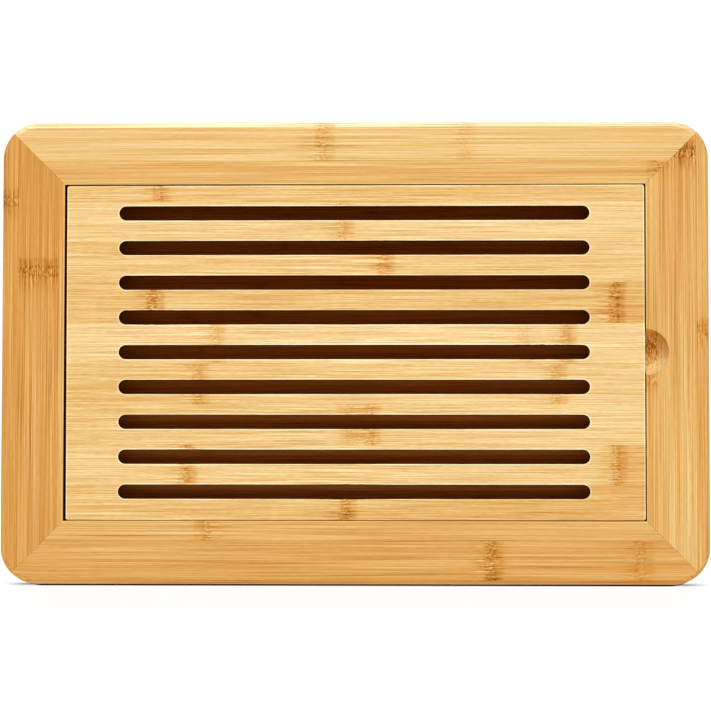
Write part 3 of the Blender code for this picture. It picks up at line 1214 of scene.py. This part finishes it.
@dataclass(frozen=True)
class MitredFrame:
    """The four mitred rails, with round outer corners, the floor's groove and the finger notch."""

    board: BoardSizes
    plans: tuple[RailPlan, ...] = RAIL_PLANS
    cores: tuple[CoreLayer, ...] = (CoreLayer(0.0, 0.008, 0.38, 11), CoreLayer(0.008, 0.020, 0.61, 31))
    top_round: float = 0.003
    foot_round: float = 0.0012
    arris: Arris = Arris()
    mitre_gap: float = 0.00002
    mitre_ease: float = 0.00005
    groove_bottom: float = 0.0025
    groove_depth: float = 0.006
    groove_clearance: float = 0.0003
    pocket_length: float = 0.0266
    pocket_width: float = 0.0166
    pocket_height: float = 0.0046
    pocket_middle: float = 0.017
    notch_rim: float = 0.0132
    notch_depth: float = 0.010
    overrun: float = 0.002
    corner_steps: int = 24
    round_steps: int = 9
    foot_steps: int = 4
    notch_steps: int = 96
    notch_rings: int = 32

    # The tones of the worn edges, the notch and the hidden sides: painted highlight and painted shade
    arris_highlight_tone: float = -0.10
    rounding_shade_tone: float = 0.3
    round_normal: float = 0.2
    wall_shade_tone: float = 0.6
    mitre_tone: float = 0.3
    mitre_slack: float = 0.01
    notch_tone: float = -0.08
    notch_light_contrast: float = 0.15
    end_grain_tone: float = 0.25
    end_grain_normal: float = 0.3

    @property
    def rail_width(self) -> float:
        """Return the width of a rail's face."""
        return (self.board.length - self.board.opening_length) / 2

    def rail_outline(self, run: float, drawn_in: float, edge_in: float, mitre_in: float) -> Outline:
        """Draw a rail with its outer side on Y = 0 and its body towards +Y.

        Args:
            run: The rail's length.
            drawn_in: How far its outer side is drawn in.
            edge_in: How far its inner side is drawn in.
            mitre_in: How far its mitre faces stand back from the mitres.

        Returns:
            The outline, anticlockwise.
        """
        centre_y = self.board.corner_radius
        middle = run / 2 - centre_y
        radius = centre_y - drawn_in
        set_back = math.asin(mitre_in / radius)
        eighth = QUARTER_TURN / 2
        left_arc = arc(-middle, centre_y, radius, 5 * eighth + set_back, 6 * eighth, self.corner_steps)
        right_arc = arc(middle, centre_y, radius, 6 * eighth, 7 * eighth - set_back, self.corner_steps)
        inner_y = self.rail_width - edge_in
        inner_x = run / 2 - inner_y - mitre_in * math.sqrt(2)
        return left_arc + right_arc + [(inner_x, inner_y), (-inner_x, inner_y)]

    def make_rail(self, plan: RailPlan) -> Piece:
        """Make one rail's whole body in its place.

        Args:
            plan: The rail's plan.

        Returns:
            The rail, not yet cut.
        """
        sizes = (self.board.length, self.board.width)
        run = sizes[1 - plan.grain.across]
        top = self.board.height
        heights = {0.0, top, *round_heights(self.foot_round, self.foot_steps)}
        heights.update(top - below for below in round_heights(self.top_round, self.round_steps))
        heights.update(top - below for below in self.arris.heights())
        rings = []
        for height in sorted(heights):
            outer = round_inset(self.top_round, top - height) + round_inset(self.foot_round, height)
            inner = self.arris.drawn_in(top - height)
            ease = max(0.0, self.mitre_ease - (top - height))
            rings.append((self.rail_outline(run, outer, inner, self.mitre_gap / 2 + ease), height))
        rail = block(f"{plan.node}_body", rings)
        turn = Matrix.Rotation(plan.quarters * QUARTER_TURN, 4, "Z")
        rail.data.transform(turn @ Matrix.Translation((0, -sizes[plan.grain.across] / 2, 0)))
        return rail

    def make_groove(self) -> Piece:
        """Make the guide that cuts the floor panel's groove.

        Returns:
            The guide.
        """
        reach_x = self.board.opening_length / 2 + self.groove_depth
        reach_y = self.board.opening_width / 2 + self.groove_depth
        outline = rectangle(-reach_x, reach_x, -reach_y, reach_y)
        top = self.board.floor_top + self.groove_clearance
        return block("groove_guide", [(outline, self.groove_bottom), (outline, top)])

    def make_pockets(self) -> Piece:
        """Make the guide that cuts the tongues' pockets in the mitres.

        Returns:
            The guide, with a body for each corner.
        """
        arc_inset = self.board.corner_radius * (1 - 1 / math.sqrt(2))
        inset = (self.rail_width + arc_inset) / 2
        pocket = stadium(self.pocket_length, self.pocket_width, self.corner_steps)
        shape = bmesh.new()
        for side in (1, -1):
            for end in (1, -1):
                x = end * (self.board.length / 2 - inset)
                y = side * (self.board.width / 2 - inset)
                outline = turned(pocket, side * end * QUARTER_TURN / 2, x, y)
                reaches = (-self.pocket_height / 2, self.pocket_height / 2)
                stack(shape, [(outline, self.pocket_middle + reach) for reach in reaches])
        return add_object("pocket_guide", shape)

    def notch_ring(self, below: float, height: float, flare: float = 0.0) -> Ring:
        """Draw the notch's circle at a distance below the rail's face.

        Args:
            below: The distance.
            height: The height that the circle gets.
            flare: How much wider it is drawn.

        Returns:
            The circle and its height.
        """
        ball = (self.notch_rim**2 + self.notch_depth**2) / (2 * self.notch_depth)
        off_centre = ball - self.notch_depth + below
        hollow = math.sqrt(max(ball * ball - off_centre * off_centre, 0.0))
        radius = hollow + self.arris.drawn_in(below) + flare
        circle = arc(self.board.opening_length / 2, 0, radius, 0, 4 * QUARTER_TURN, self.notch_steps)
        return circle[:-1], height

    def make_notch(self) -> Piece:
        """Make the guide that hollows out the finger notch, with its rim eased.

        Returns:
            The guide. Its lowest ring lies a quarter of the last step up, and closes the hollow.
        """
        turns = [(step + 1) / self.notch_rings * QUARTER_TURN for step in range(self.notch_rings)]
        depths = [self.notch_depth * math.sin(turn) for turn in turns]
        last_step = self.notch_depth - max(depths[:-1])
        below = {self.notch_depth - last_step / 4, *self.arris.heights()}
        below.update(depth for depth in depths if depth < self.notch_depth - last_step / 2)
        rings = [self.notch_ring(drop, self.board.height - drop) for drop in sorted(below, reverse=True)]
        top = self.board.height + self.overrun
        rings.append(self.notch_ring(0, top, self.arris.flare(self.overrun)))
        return block("notch_guide", rings)

    def layers_of(self, plan: RailPlan) -> list[Layer]:
        """Lay up a rail.

        Args:
            plan: The rail's plan.

        Returns:
            Its two hidden layers and the one that shows.
        """
        low = plan.lamellas[0].low_edge
        high = plan.lamellas[-1].high_edge
        layers = []
        for core, knots in zip(self.cores, ((), plan.core_knots)):
            lamellas = PlainLamellas(plan.core_tone, knots=knots)
            edges = [low, low + (high - low) * core.line, high]
            layers.append(lamellas.layer(core.bottom, core.top, edges, core.seed + self.plans.index(plan)))
        return [*layers, Layer(self.cores[-1].top, self.board.height, plan.lamellas)]

    def edge_light_and_tone(self, plan: RailPlan, centre: Vector, normal: Vector) -> float:
        """Find the tone, mostly painted light and shade, that a face adds on a worn edge, in the notch or
        on a hidden side.

        Args:
            plan: The rail's plan.
            centre: The face's centre.
            normal: The face's normal.

        Returns:
            The tone, 0 on the rail's plain faces.
        """
        board = self.board
        if abs(normal.z) > FLAT_NORMAL:
            return 0.0
        # Painted highlight or painted shade on the outer rounding, strongest where it faces across the
        # rail
        if board.off_side(centre.x, centre.y) > -self.top_round:
            square_on = abs(normal[plan.grain.across]) / math.hypot(normal.x, normal.y)
            return plan.round_light_tone * square_on**2 if normal.z > self.round_normal else 0.0
        off_notch = math.hypot(centre.x - board.opening_length / 2, centre.y) - self.notch_rim
        # Painted light and painted shade on the notch's slopes, by the way that they face the key lamp
        if off_notch < self.arris.width and normal.z > ROUND_NORMAL:
            return self.notch_tone_at(normal) if board.height - centre.z > self.arris.depth else 0.0
        if abs(abs(normal.x) - abs(normal.y)) < self.mitre_slack:
            return self.mitre_tone
        # Painted highlight on the worn edges' slopes, painted shade on their roundings and on the hidden
        # walls
        if normal.z > SLOPE_NORMAL:
            return self.arris_highlight_tone
        if normal.z > ROUND_NORMAL:
            return self.rounding_shade_tone
        return self.wall_shade_tone if centre.z > board.insert_bottom else self.wall_shade_tone / 2

    def notch_tone_at(self, normal: Vector) -> float:
        """Return the notch's tone: painted shade on its rear slope, which faces away from the key lamp,
        painted light on its front slope, and darker still where end grain faces in.
        """
        end_grain = -normal.x * max(0.0, self.end_grain_normal - normal.y)
        return self.notch_tone - self.notch_light_contrast * normal.y + self.end_grain_tone * end_grain

    def finish_of(self, grain: Grain) -> BambooFinish:
        """Choose the rails' finish.

        Args:
            grain: The way that the rails' fibres run.

        Returns:
            The finish.
        """
        return BambooFinish(
            name=f"frame_bamboo_{grain.value}",
            slot="frame_bamboo",
            grain=grain,
            glue_heights=tuple(core.top for core in self.cores),
            fibre=Marks(0.09, 0.0005, 0.30, 0.25),
            sheen=Marks(0.07, 0.0005, 0.0, 0.42),
            strand=Marks(0.14, 0.0013, 0.24),
            vein=Marks(0.25, 0.004, 0.14),
            fleck=Marks(0.006, 0.0005, 0.09, 0.14),
            line=Marks(0.10, 0.0005, 0.34),
            knot=RAIL_KNOT,
        )

    def build(self) -> None:
        """Make, cut and dress the four rails."""
        groove = self.make_groove()
        pockets = self.make_pockets()
        notch = self.make_notch()
        finishes = {grain: self.finish_of(grain) for grain in Grain}
        for plan in self.plans:
            rail = self.make_rail(plan)
            guides = [groove, pockets]
            if plan.node == "right_rail":
                guides.append(notch)
            combine(rail, guides, Cut.REMOVE)
            split_lamellas(rail, self.layers_of(plan), plan.grain, partial(self.edge_light_and_tone, plan))
            fit_piece(rail, plan.node, "tray", finishes[plan.grain])
        discard([groove, pockets, notch])


STAVES = (
    Lamella(0.0866, 0.1000, 0.235, 0.255, 1.47, (Knot(-0.1118, 0.5),)),
    Lamella(0.0633, 0.0866, 0.185, 0.175, 4.93, (Knot(-0.0057, 0.4),)),
    Lamella(0.0400, 0.0633, 0.225, 0.20, 7.19, (Knot(0.0179, 0.5),)),
    Lamella(0.0167, 0.0400, 0.258, 0.312, 2.71, (Knot(-0.1149, 0.8), Knot(0.1500, 0.68)), 0.151, 0.01),
    Lamella(-0.0066, 0.0167, 0.17, 0.15, 5.59, (Knot(-0.0791, 0.4), Knot(0.1226, 0.5), Knot(0.0981, 0.2))),
    Lamella(-0.0299, -0.0066, 0.24, 0.175, 8.37, (Knot(-0.0888, 0.4), Knot(0.1163, 0.4))),
    Lamella(-0.0532, -0.0299, 0.225, 0.165, 3.29, (Knot(0.0099, 0.5), Knot(-0.0033, 0.3, -1.0))),
    Lamella(-0.0765, -0.0532, 0.19, 0.275, 6.83, (Knot(-0.0955, 0.55), Knot(0.1509, 0.5)), 0.151, 0.01),
    Lamella(-0.1000, -0.0765, 0.23, 0.30, 9.71, (Knot(-0.0038, 0.65),)),
)


@dataclass(frozen=True)
class Tear:
    """A stretch of a slot's edges that the cutter has torn, with the slot's number from the rear."""

    slot: int
    along: float
    reach: float
    depth: float


TEARS = (
    Tear(9, -0.002, 0.016, 0.00045),
    Tear(4, -0.114, 0.010, 0.00022),
    Tear(5, 0.105, 0.016, 0.00025),
    Tear(6, 0.119, 0.012, 0.0002),
    Tear(2, 0.018, 0.009, 0.00016),
    Tear(7, 0.008, 0.012, 0.00018),
    Tear(8, -0.096, 0.010, 0.0002),
)


@dataclass(frozen=True)
class SlottedInsert:
    """The lift-out insert: nine edge-glued staves, cut through by nine long slots."""

    board: BoardSizes
    staves: tuple[Lamella, ...] = STAVES
    corner_radius: float = 0.0015
    arris: Arris = Arris()
    left_trim: float = 0.0003
    right_trim: float = 0.00008
    front_shift: float = 0.0001
    turn: float = math.radians(0.05)
    slot_length: float = 0.270
    slot_width: float = 0.008
    slot_pitch: float = 0.020
    slot_count: int = 9
    slot_row_shift: float = -0.0006
    saw_overrun: float = 0.002
    cutter_overrun: float = 0.00025
    corner_steps: int = 8
    slot_end_steps: int = 32
    slot_side_steps: int = 180

    # Torn spots, and the cutter's own waves, which are some grains of a tear long. Each slot and each
    # of its two edges is read at a place of its own in the noise.
    tears: tuple[Tear, ...] = TEARS
    tear_grain: float = 0.0028
    tear_bias: float = 0.45
    cutter_wave: float = 0.00004
    cutter_grains: float = 3.0
    slot_place: float = 7.0
    edge_place: float = 3.0

    # The tones of the worn edges and the sawn sides: painted highlight on the rims, painted shade
    # elsewhere
    rim_highlight_tone: float = -0.16
    front_rim_shade_tone: float = 0.04
    front_normal: float = -0.05
    slot_rim_highlight_tone: float = -0.17
    side_shade_tone: float = 0.36
    slot_shade_tone: float = 0.8

    @property
    def edge_levels(self) -> list[tuple[float, float]]:
        """List the steps of the insert's worn edges.

        Returns:
            Heights from the underside up, and how far the edges are drawn in there.
        """
        bottom = self.board.insert_bottom
        steps = [(below, self.arris.drawn_in(below)) for below in self.arris.heights()]
        rising = [(bottom + below, drawn_in) for below, drawn_in in reversed(steps)]
        return rising + [(self.board.height - below, drawn_in) for below, drawn_in in steps]

    def make_blank(self) -> Piece:
        """Make the whole insert as one board, with its edges rounded.

        Returns:
            The board. It lies in its opening with the play that the real one has.
        """
        rings = []
        length = self.board.insert_length - self.left_trim - self.right_trim
        width = self.board.insert_width
        middle = self.board.insert_middle + (self.left_trim - self.right_trim) / 2
        for height, drawn_in in self.edge_levels:
            sizes = (length - 2 * drawn_in, width - 2 * drawn_in, self.corner_radius - drawn_in)
            outline = rounded_rectangle(*sizes, self.corner_steps)
            rings.append((turned(outline, self.turn, middle, -self.front_shift), height))
        return block("insert_guide", rings)

    def torn_by(self, number: int, along: float, side: int) -> float:
        """Find how far the cutter has strayed outwards at a place on a slot's edge.

        Args:
            number: The slot's number from the rear.
            along: The place along the slot.
            side: 1 for its rear edge and -1 for its front edge.

        Returns:
            The distance, less than 0 where it has strayed inwards.
        """
        place = Vector((along / self.tear_grain, self.slot_place * number, self.edge_place * side))
        stray = self.cutter_wave * noise.noise(place / self.cutter_grains)
        for tear in self.tears:
            if tear.slot == number:
                share = math.exp(-(((along - tear.along) / tear.reach) ** 2))
                stray += tear.depth * share * max(noise.noise(place) + self.tear_bias, 0.0)
        return stray

    def slot_outline(self, number: int, flare: float) -> Outline:
        """Draw a slot about its own middle, with its torn edges.

        Args:
            number: The slot's number from the rear.
            flare: How much wider it is cut all round.

        Returns:
            The outline, anticlockwise.
        """
        reach = (self.slot_length - self.slot_width) / 2
        radius = self.slot_width / 2 + flare
        outline: Outline = []
        for side in (1, -1):
            start = -side * QUARTER_TURN
            outline += arc(side * reach, 0, radius, start, start + 2 * QUARTER_TURN, self.slot_end_steps)
            for step in range(1, self.slot_side_steps):
                x = side * (reach - 2 * reach * step / self.slot_side_steps)
                outline.append((x, side * (radius + self.torn_by(number, x, side))))
        return outline

    def make_slots(self) -> Piece:
        """Make the guide that cuts the slots, flared at both faces to wear their edges.

        Returns:
            The guide, with a body for each slot.
        """
        middle_x = self.board.insert_middle + self.slot_row_shift
        rearmost = (self.slot_count - 1) / 2 * self.slot_pitch
        (bottom, bottom_in), *_, (top, top_in) = self.edge_levels
        flare = self.arris.flare(self.cutter_overrun)
        levels = [
            (bottom - self.cutter_overrun, bottom_in + flare),
            *self.edge_levels,
            (top + self.cutter_overrun, top_in + flare),
        ]
        shape = bmesh.new()
        for index in range(self.slot_count):
            rings = []
            for height, wider in levels:
                outline = self.slot_outline(index + 1, wider)
                rings.append((turned(outline, 0.0, middle_x, rearmost - index * self.slot_pitch), height))
            stack(shape, rings)
        return add_object("slot_guide", shape)

    def edge_light_and_tone(self, centre: Vector, normal: Vector) -> float:
        """Find the tone that a face adds: a painted highlight on a worn edge, painted shade on the front
        rim and a sawn side.

        Args:
            centre: The face's centre.
            normal: The face's normal.

        Returns:
            The tone, 0 on the staves' faces.
        """
        if abs(normal.z) > FLAT_NORMAL:
            return 0.0
        off_end = self.board.insert_length / 2 - abs(centre.x - self.board.insert_middle)
        off_side = self.board.insert_width / 2 - abs(centre.y)
        outside = min(off_end, off_side) < self.corner_radius
        # Painted shade on the sawn sides in the gap and the slots, a painted highlight on the rims
        if abs(normal.z) <= SLOPE_NORMAL:
            return self.side_shade_tone if outside else self.slot_shade_tone
        if not outside:
            return self.slot_rim_highlight_tone
        return self.front_rim_shade_tone if normal.y < self.front_normal else self.rim_highlight_tone

    def build(self) -> None:
        """Make the slotted board and saw it into its staves."""
        board = self.board
        slots = self.make_slots()
        blank = self.make_blank()
        combine(blank, [slots], Cut.REMOVE)
        finish = BambooFinish(name="insert_bamboo", slot="insert_bamboo", grain=Grain.LENGTHWISE)
        reach = board.insert_length / 2 + abs(board.insert_middle) + self.saw_overrun
        for number, strip in enumerate(self.staves, start=1):
            outline = rectangle(-reach, reach, strip.low_edge, strip.high_edge)
            heights = (board.insert_bottom - self.saw_overrun, board.height + self.saw_overrun)
            stave = block(f"insert_stave_{number}_body", [(outline, height) for height in heights])
            combine(stave, [blank], Cut.KEEP)
            layer = Layer(board.insert_bottom, board.height, (strip,))
            split_lamellas(stave, [layer], Grain.LENGTHWISE, self.edge_light_and_tone)
            fit_piece(stave, f"insert_stave_{number}", "insert", finish)
        discard([slots, blank])


FLOOR_FINISH = BambooFinish(
    name="floor_bamboo",
    slot="floor_bamboo",
    grain=Grain.LENGTHWISE,
    shades=FLOOR_SHADES,
    roughness=0.8,
    gloss=0.08,
    veil=0.0,
    painted_slot_light=SlotLightPools(),
)
BATTEN_FINISH = BambooFinish(
    name="batten_bamboo",
    slot="batten_bamboo",
    grain=Grain.CROSSWISE,
    shades=FLOOR_SHADES,
    roughness=0.7,
    gloss=0.2,
    veil=0.0,
)


@dataclass(frozen=True)
class CrumbTray:
    """The floor panel that catches the crumbs and the two battens that carry the insert.

    An edge strip reaches over the piece's edge by its margin, so that no glue line shows there.
    """

    strip_width: float = 0.0215
    margin: float = 0.0026875
    floor_lamellas: PlainLamellas = PlainLamellas(0.74, 0.03, knot_share=0.4)
    floor_seed: int = 53
    panel_ease: float = 0.0003
    battens: tuple[str, ...] = ("left_batten", "right_batten")
    batten_lamellas: PlainLamellas = PlainLamellas(0.9)
    batten_seed: int = 71
    batten_round: float = 0.0008
    round_steps: int = 4

    def build_floor(self) -> None:
        """Make and dress the floor panel, with strips that run lengthwise and its edges eased."""
        low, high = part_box("tray_floor")
        count = round((high.y - low.y) / self.strip_width)
        edges = [low.y + (high.y - low.y) * step / count for step in range(count + 1)]
        edges[0] -= self.margin
        edges[-1] += self.margin
        ease = self.panel_ease
        levels = ((low.z, ease), (low.z + ease, 0.0), (high.z - ease, 0.0), (high.z, ease))
        panel = boxed_block("tray_floor_panel", low, high, levels)
        layer = self.floor_lamellas.layer(low.z, high.z, edges, self.floor_seed)
        split_lamellas(panel, [layer], FLOOR_FINISH.grain)
        fit_piece(panel, "tray_floor", "tray", FLOOR_FINISH)

    def build_batten(self, node: str, seed: int) -> None:
        """Make and dress a batten whose upper edges are rounded.

        Args:
            node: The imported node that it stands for.
            seed: What sets its tone, knots and fibres.
        """
        low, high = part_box(node)
        levels = [(low.z, 0.0)]
        for below in round_heights(self.batten_round, self.round_steps):
            levels.append((high.z - below, round_inset(self.batten_round, below)))
        batten = boxed_block(f"{node}_body", low, high, levels)
        edges = [low.x - self.margin, high.x + self.margin]
        layer = self.batten_lamellas.layer(low.z, high.z, edges, seed)
        split_lamellas(batten, [layer], BATTEN_FINISH.grain)
        fit_piece(batten, node, "tray", BATTEN_FINISH)

    def build(self) -> None:
        """Make and dress the floor panel and the battens."""
        self.build_floor()
        for number, node in enumerate(self.battens):
            self.build_batten(node, self.batten_seed + number)


@dataclass(frozen=True)
class MitreTongues:
    """The four loose tongues in the mitres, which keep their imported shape."""

    nodes: tuple[str, ...] = (
        "mitre_tongue_rear_left",
        "mitre_tongue_rear_right",
        "mitre_tongue_front_left",
        "mitre_tongue_front_right",
    )

    def build(self) -> None:
        """Dress the tongues."""
        finish = BeechFinish("tongue_beech")
        for node in self.nodes:
            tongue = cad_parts[node]
            tongue.data.materials.clear()
            tongue.data.materials.append(finish.material)
            LOG.info("%s: packed shape, dressed in beech", node)


@dataclass(frozen=True)
class Lamp:
    """A large soft lamp: the light that it gives the board's face, and where it hangs.

    Its level is a share of the light at which a colour renders as it is written. Its bearing is
    measured from +Y, clockwise from above.
    """

    name: str
    level: float
    height_angle: float
    bearing: float
    distance: float = 5.0
    size: float = 2.2

    def hang(self, target: Vector) -> None:
        """Hang the lamp in the scene, pointed at the board.

        Args:
            target: The middle of the board's face.
        """
        lamp = bpy.data.lights.new(self.name, "AREA")
        lamp.shape = "SQUARE"
        lamp.size = self.size
        lamp.energy = self.level * (math.pi * self.distance) ** 2 / math.sin(self.height_angle)
        out = self.distance * math.cos(self.height_angle)
        way = Vector((out * math.sin(self.bearing), out * math.cos(self.bearing), 0.0))
        way.z = self.distance * math.sin(self.height_angle)
        thing = bpy.data.objects.new(self.name, lamp)
        thing.location = target + way
        thing.rotation_euler = (-way).to_track_quat("-Z", "Y").to_euler()
        thing.visible_camera = False
        bpy.context.scene.collection.objects.link(thing)


LAMPS = (
    Lamp("key_lamp", 0.47, math.radians(50), math.radians(-4)),
    Lamp("front_fill_lamp", 0.15, math.radians(24), math.radians(180)),
)


@dataclass(frozen=True)
class Studio:
    """The plain floor, the lights and the camera.

    The contact line is a painted shadow: a dark line painted on the floor where the board's front
    edge meets it. The streak is a faint painted shadow that trails from it past the round corners.
    """

    board: BoardSizes
    lamps: tuple[Lamp, ...] = LAMPS
    sky_level: float = 0.42
    floor_size: float = 12.0
    floor_cuts: int = 5
    floor_glow: float = 0.935
    floor_tint: float = 0.85
    floor_roughness: float = 0.9
    shadow_share: float = 0.1
    # Painted shadow: the contact line's reach and fade along the front, its warm tint, and the streak
    contact_core: float = 0.00182
    contact_reach: float = 0.0019
    contact_front: float = 0.004
    contact_fade: float = 0.010
    contact_shadow_tint: tuple[float, float, float] = (0.035, 0.009, 0.003)
    streak_off: float = 0.0010
    streak_width: float = 0.0007
    streak_level: float = 0.75
    streak_start: float = 0.189
    streak_end: float = 0.207
    camera_x: float = 0.0387
    camera_y: float = -0.0799
    camera_above_board: float = 1.5
    camera_tilt: float = math.radians(2.974)
    camera_swing: float = math.radians(1.448)
    camera_roll: float = math.radians(0.052)
    camera_lens: float = 132.73
    camera_sensor: float = 36.0

    def make_floor(self) -> None:
        """Lay the pale floor, which looks white and keeps the board's shadow."""
        half = self.floor_size / 2
        shape = bmesh.new()
        shape.faces.new([shape.verts.new((x, y, 0.0)) for x, y in rectangle(-half, half, -half, half)])
        bmesh.ops.subdivide_edges(shape, edges=shape.edges[:], cuts=self.floor_cuts, use_grid_fill=True)
        floor = add_object("studio_floor", shape)
        floor.data.materials.append(self.floor_material())

    def off_board(self, x: Number, y: Number) -> Number:
        """Find how far a point of the floor lies outside the board's outline.

        Args:
            x: The point's X.
            y: The point's Y.

        Returns:
            The distance, less than 0 inside.
        """
        sheet = x.sheet
        over = self.board.over_corner(x, y)
        out_x, out_y = (sheet.math("MAXIMUM", part, 0.0) for part in over)
        inside = sheet.math("MINIMUM", sheet.math("MAXIMUM", *over), 0.0)
        return sheet.math("SQRT", out_x * out_x + out_y * out_y) + inside - self.board.corner_radius

    def open_share(self, sheet: NodeSheet) -> Number:
        """Find how much of the floor's light is left beside the board's front edge, under the painted
        shadow.

        Args:
            sheet: The floor's sheet.

        Returns:
            1 on the open floor, and 0 on the contact line.
        """
        x, y, _ = sheet.object_place()
        front = self.board.width / 2
        off_foot = sheet.rise(self.off_board(x, y), self.contact_core, self.contact_reach)
        start = self.contact_front - front
        behind_front = sheet.rise(y, start, start + self.contact_fade)
        streak = sheet.bell(y + (front + self.streak_off), self.streak_width)
        streak *= 1.0 - sheet.rise(abs(x), self.streak_start, self.streak_end)
        return sheet.math("MAXIMUM", off_foot, behind_front) * (1.0 - streak * self.streak_level)

    def floor_material(self) -> bpy.types.Material:
        """Write the floor's paint, with the painted shadow of its contact line and streak.

        Returns:
            The new material.
        """
        sheet = NodeSheet(bpy.data.materials.new("studio_floor_paint"))
        paint = sheet.nodes["Principled BSDF"]
        tint = (self.floor_tint, self.floor_tint, self.floor_tint, 1.0)
        fed = {"Base Color": tint, "Roughness": self.floor_roughness, "Specular IOR Level": 0.0}
        sheet.feed(paint, fed)
        share = self.open_share(sheet)
        # The painted shadow dims the floor's glow towards a warm brown tint
        shadow_tints = {index: share * (1.0 - tint_part) + tint_part for index, tint_part in enumerate(self.contact_shadow_tint)}
        shadow_tinted = sheet.node("CombineColor", shadow_tints)
        grey = sheet.node("CombineColor", dict.fromkeys(shadow_tints, share * self.shadow_share))
        glow = sheet.node("Emission", {"Strength": self.floor_glow, "Color": shadow_tinted.outputs[0]})
        shaded = sheet.node("BsdfDiffuse", {"Color": grey.outputs[0]})
        seen = sheet.node("AddShader", {0: glow.outputs[0], 1: shaded.outputs[0]})
        choice = {0: sheet.background_seen(), 1: paint.outputs[0], 2: seen.outputs[0]}
        surface = sheet.node("MixShader", choice).outputs[0]
        sheet.feed(sheet.nodes["Material Output"], {"Surface": surface})
        return sheet.owner

    def make_sky(self) -> None:
        """Light the board softly from all round, with white behind it."""
        world = bpy.data.worlds.new("studio_sky")
        bpy.context.scene.world = world
        sheet = NodeSheet(world)
        levels = {"Value": sheet.background_seen(), "To Min": self.sky_level, "To Max": 1.0}
        level = sheet.node("MapRange", levels).outputs[0]
        sheet.feed(sheet.nodes["Background"], {"Color": WHITE, "Strength": level})

    def make_camera(self) -> None:
        """Set the camera square above the board, a little towards its front right."""
        lens = bpy.data.cameras.new("studio_camera")
        lens.sensor_width = self.camera_sensor
        lens.lens = self.camera_lens
        camera = bpy.data.objects.new("studio_camera", lens)
        place = (self.camera_x, self.camera_y, self.board.height + self.camera_above_board)
        turn = (
            Matrix.Rotation(self.camera_roll, 4, "Z")
            @ Matrix.Rotation(self.camera_swing, 4, "Y")
            @ Matrix.Rotation(self.camera_tilt, 4, "X")
        )
        camera.matrix_world = Matrix.Translation(place) @ turn
        bpy.context.scene.collection.objects.link(camera)
        bpy.context.scene.camera = camera

    def build(self) -> None:
        """Set up the studio."""
        self.make_camera()
        self.make_floor()
        self.make_sky()
        for lamp in self.lamps:
            lamp.hang(Vector((0.0, 0.0, self.board.height)))
        bpy.context.scene.view_settings.view_transform = "Standard"
        LOG.info("studio: floor, sky, %d lamps and camera", len(self.lamps))


def main() -> None:
    """Set up the studio and build the board's sub-assemblies in order."""
    logging.basicConfig(level=logging.INFO, format="%(message)s")
    board = BoardSizes.from_frame()
    Studio(board).build()
    MitredFrame(board).build()
    MitreTongues().build()
    CrumbTray().build()
    SlottedInsert(board).build()


if __name__ == "__main__":
    main()
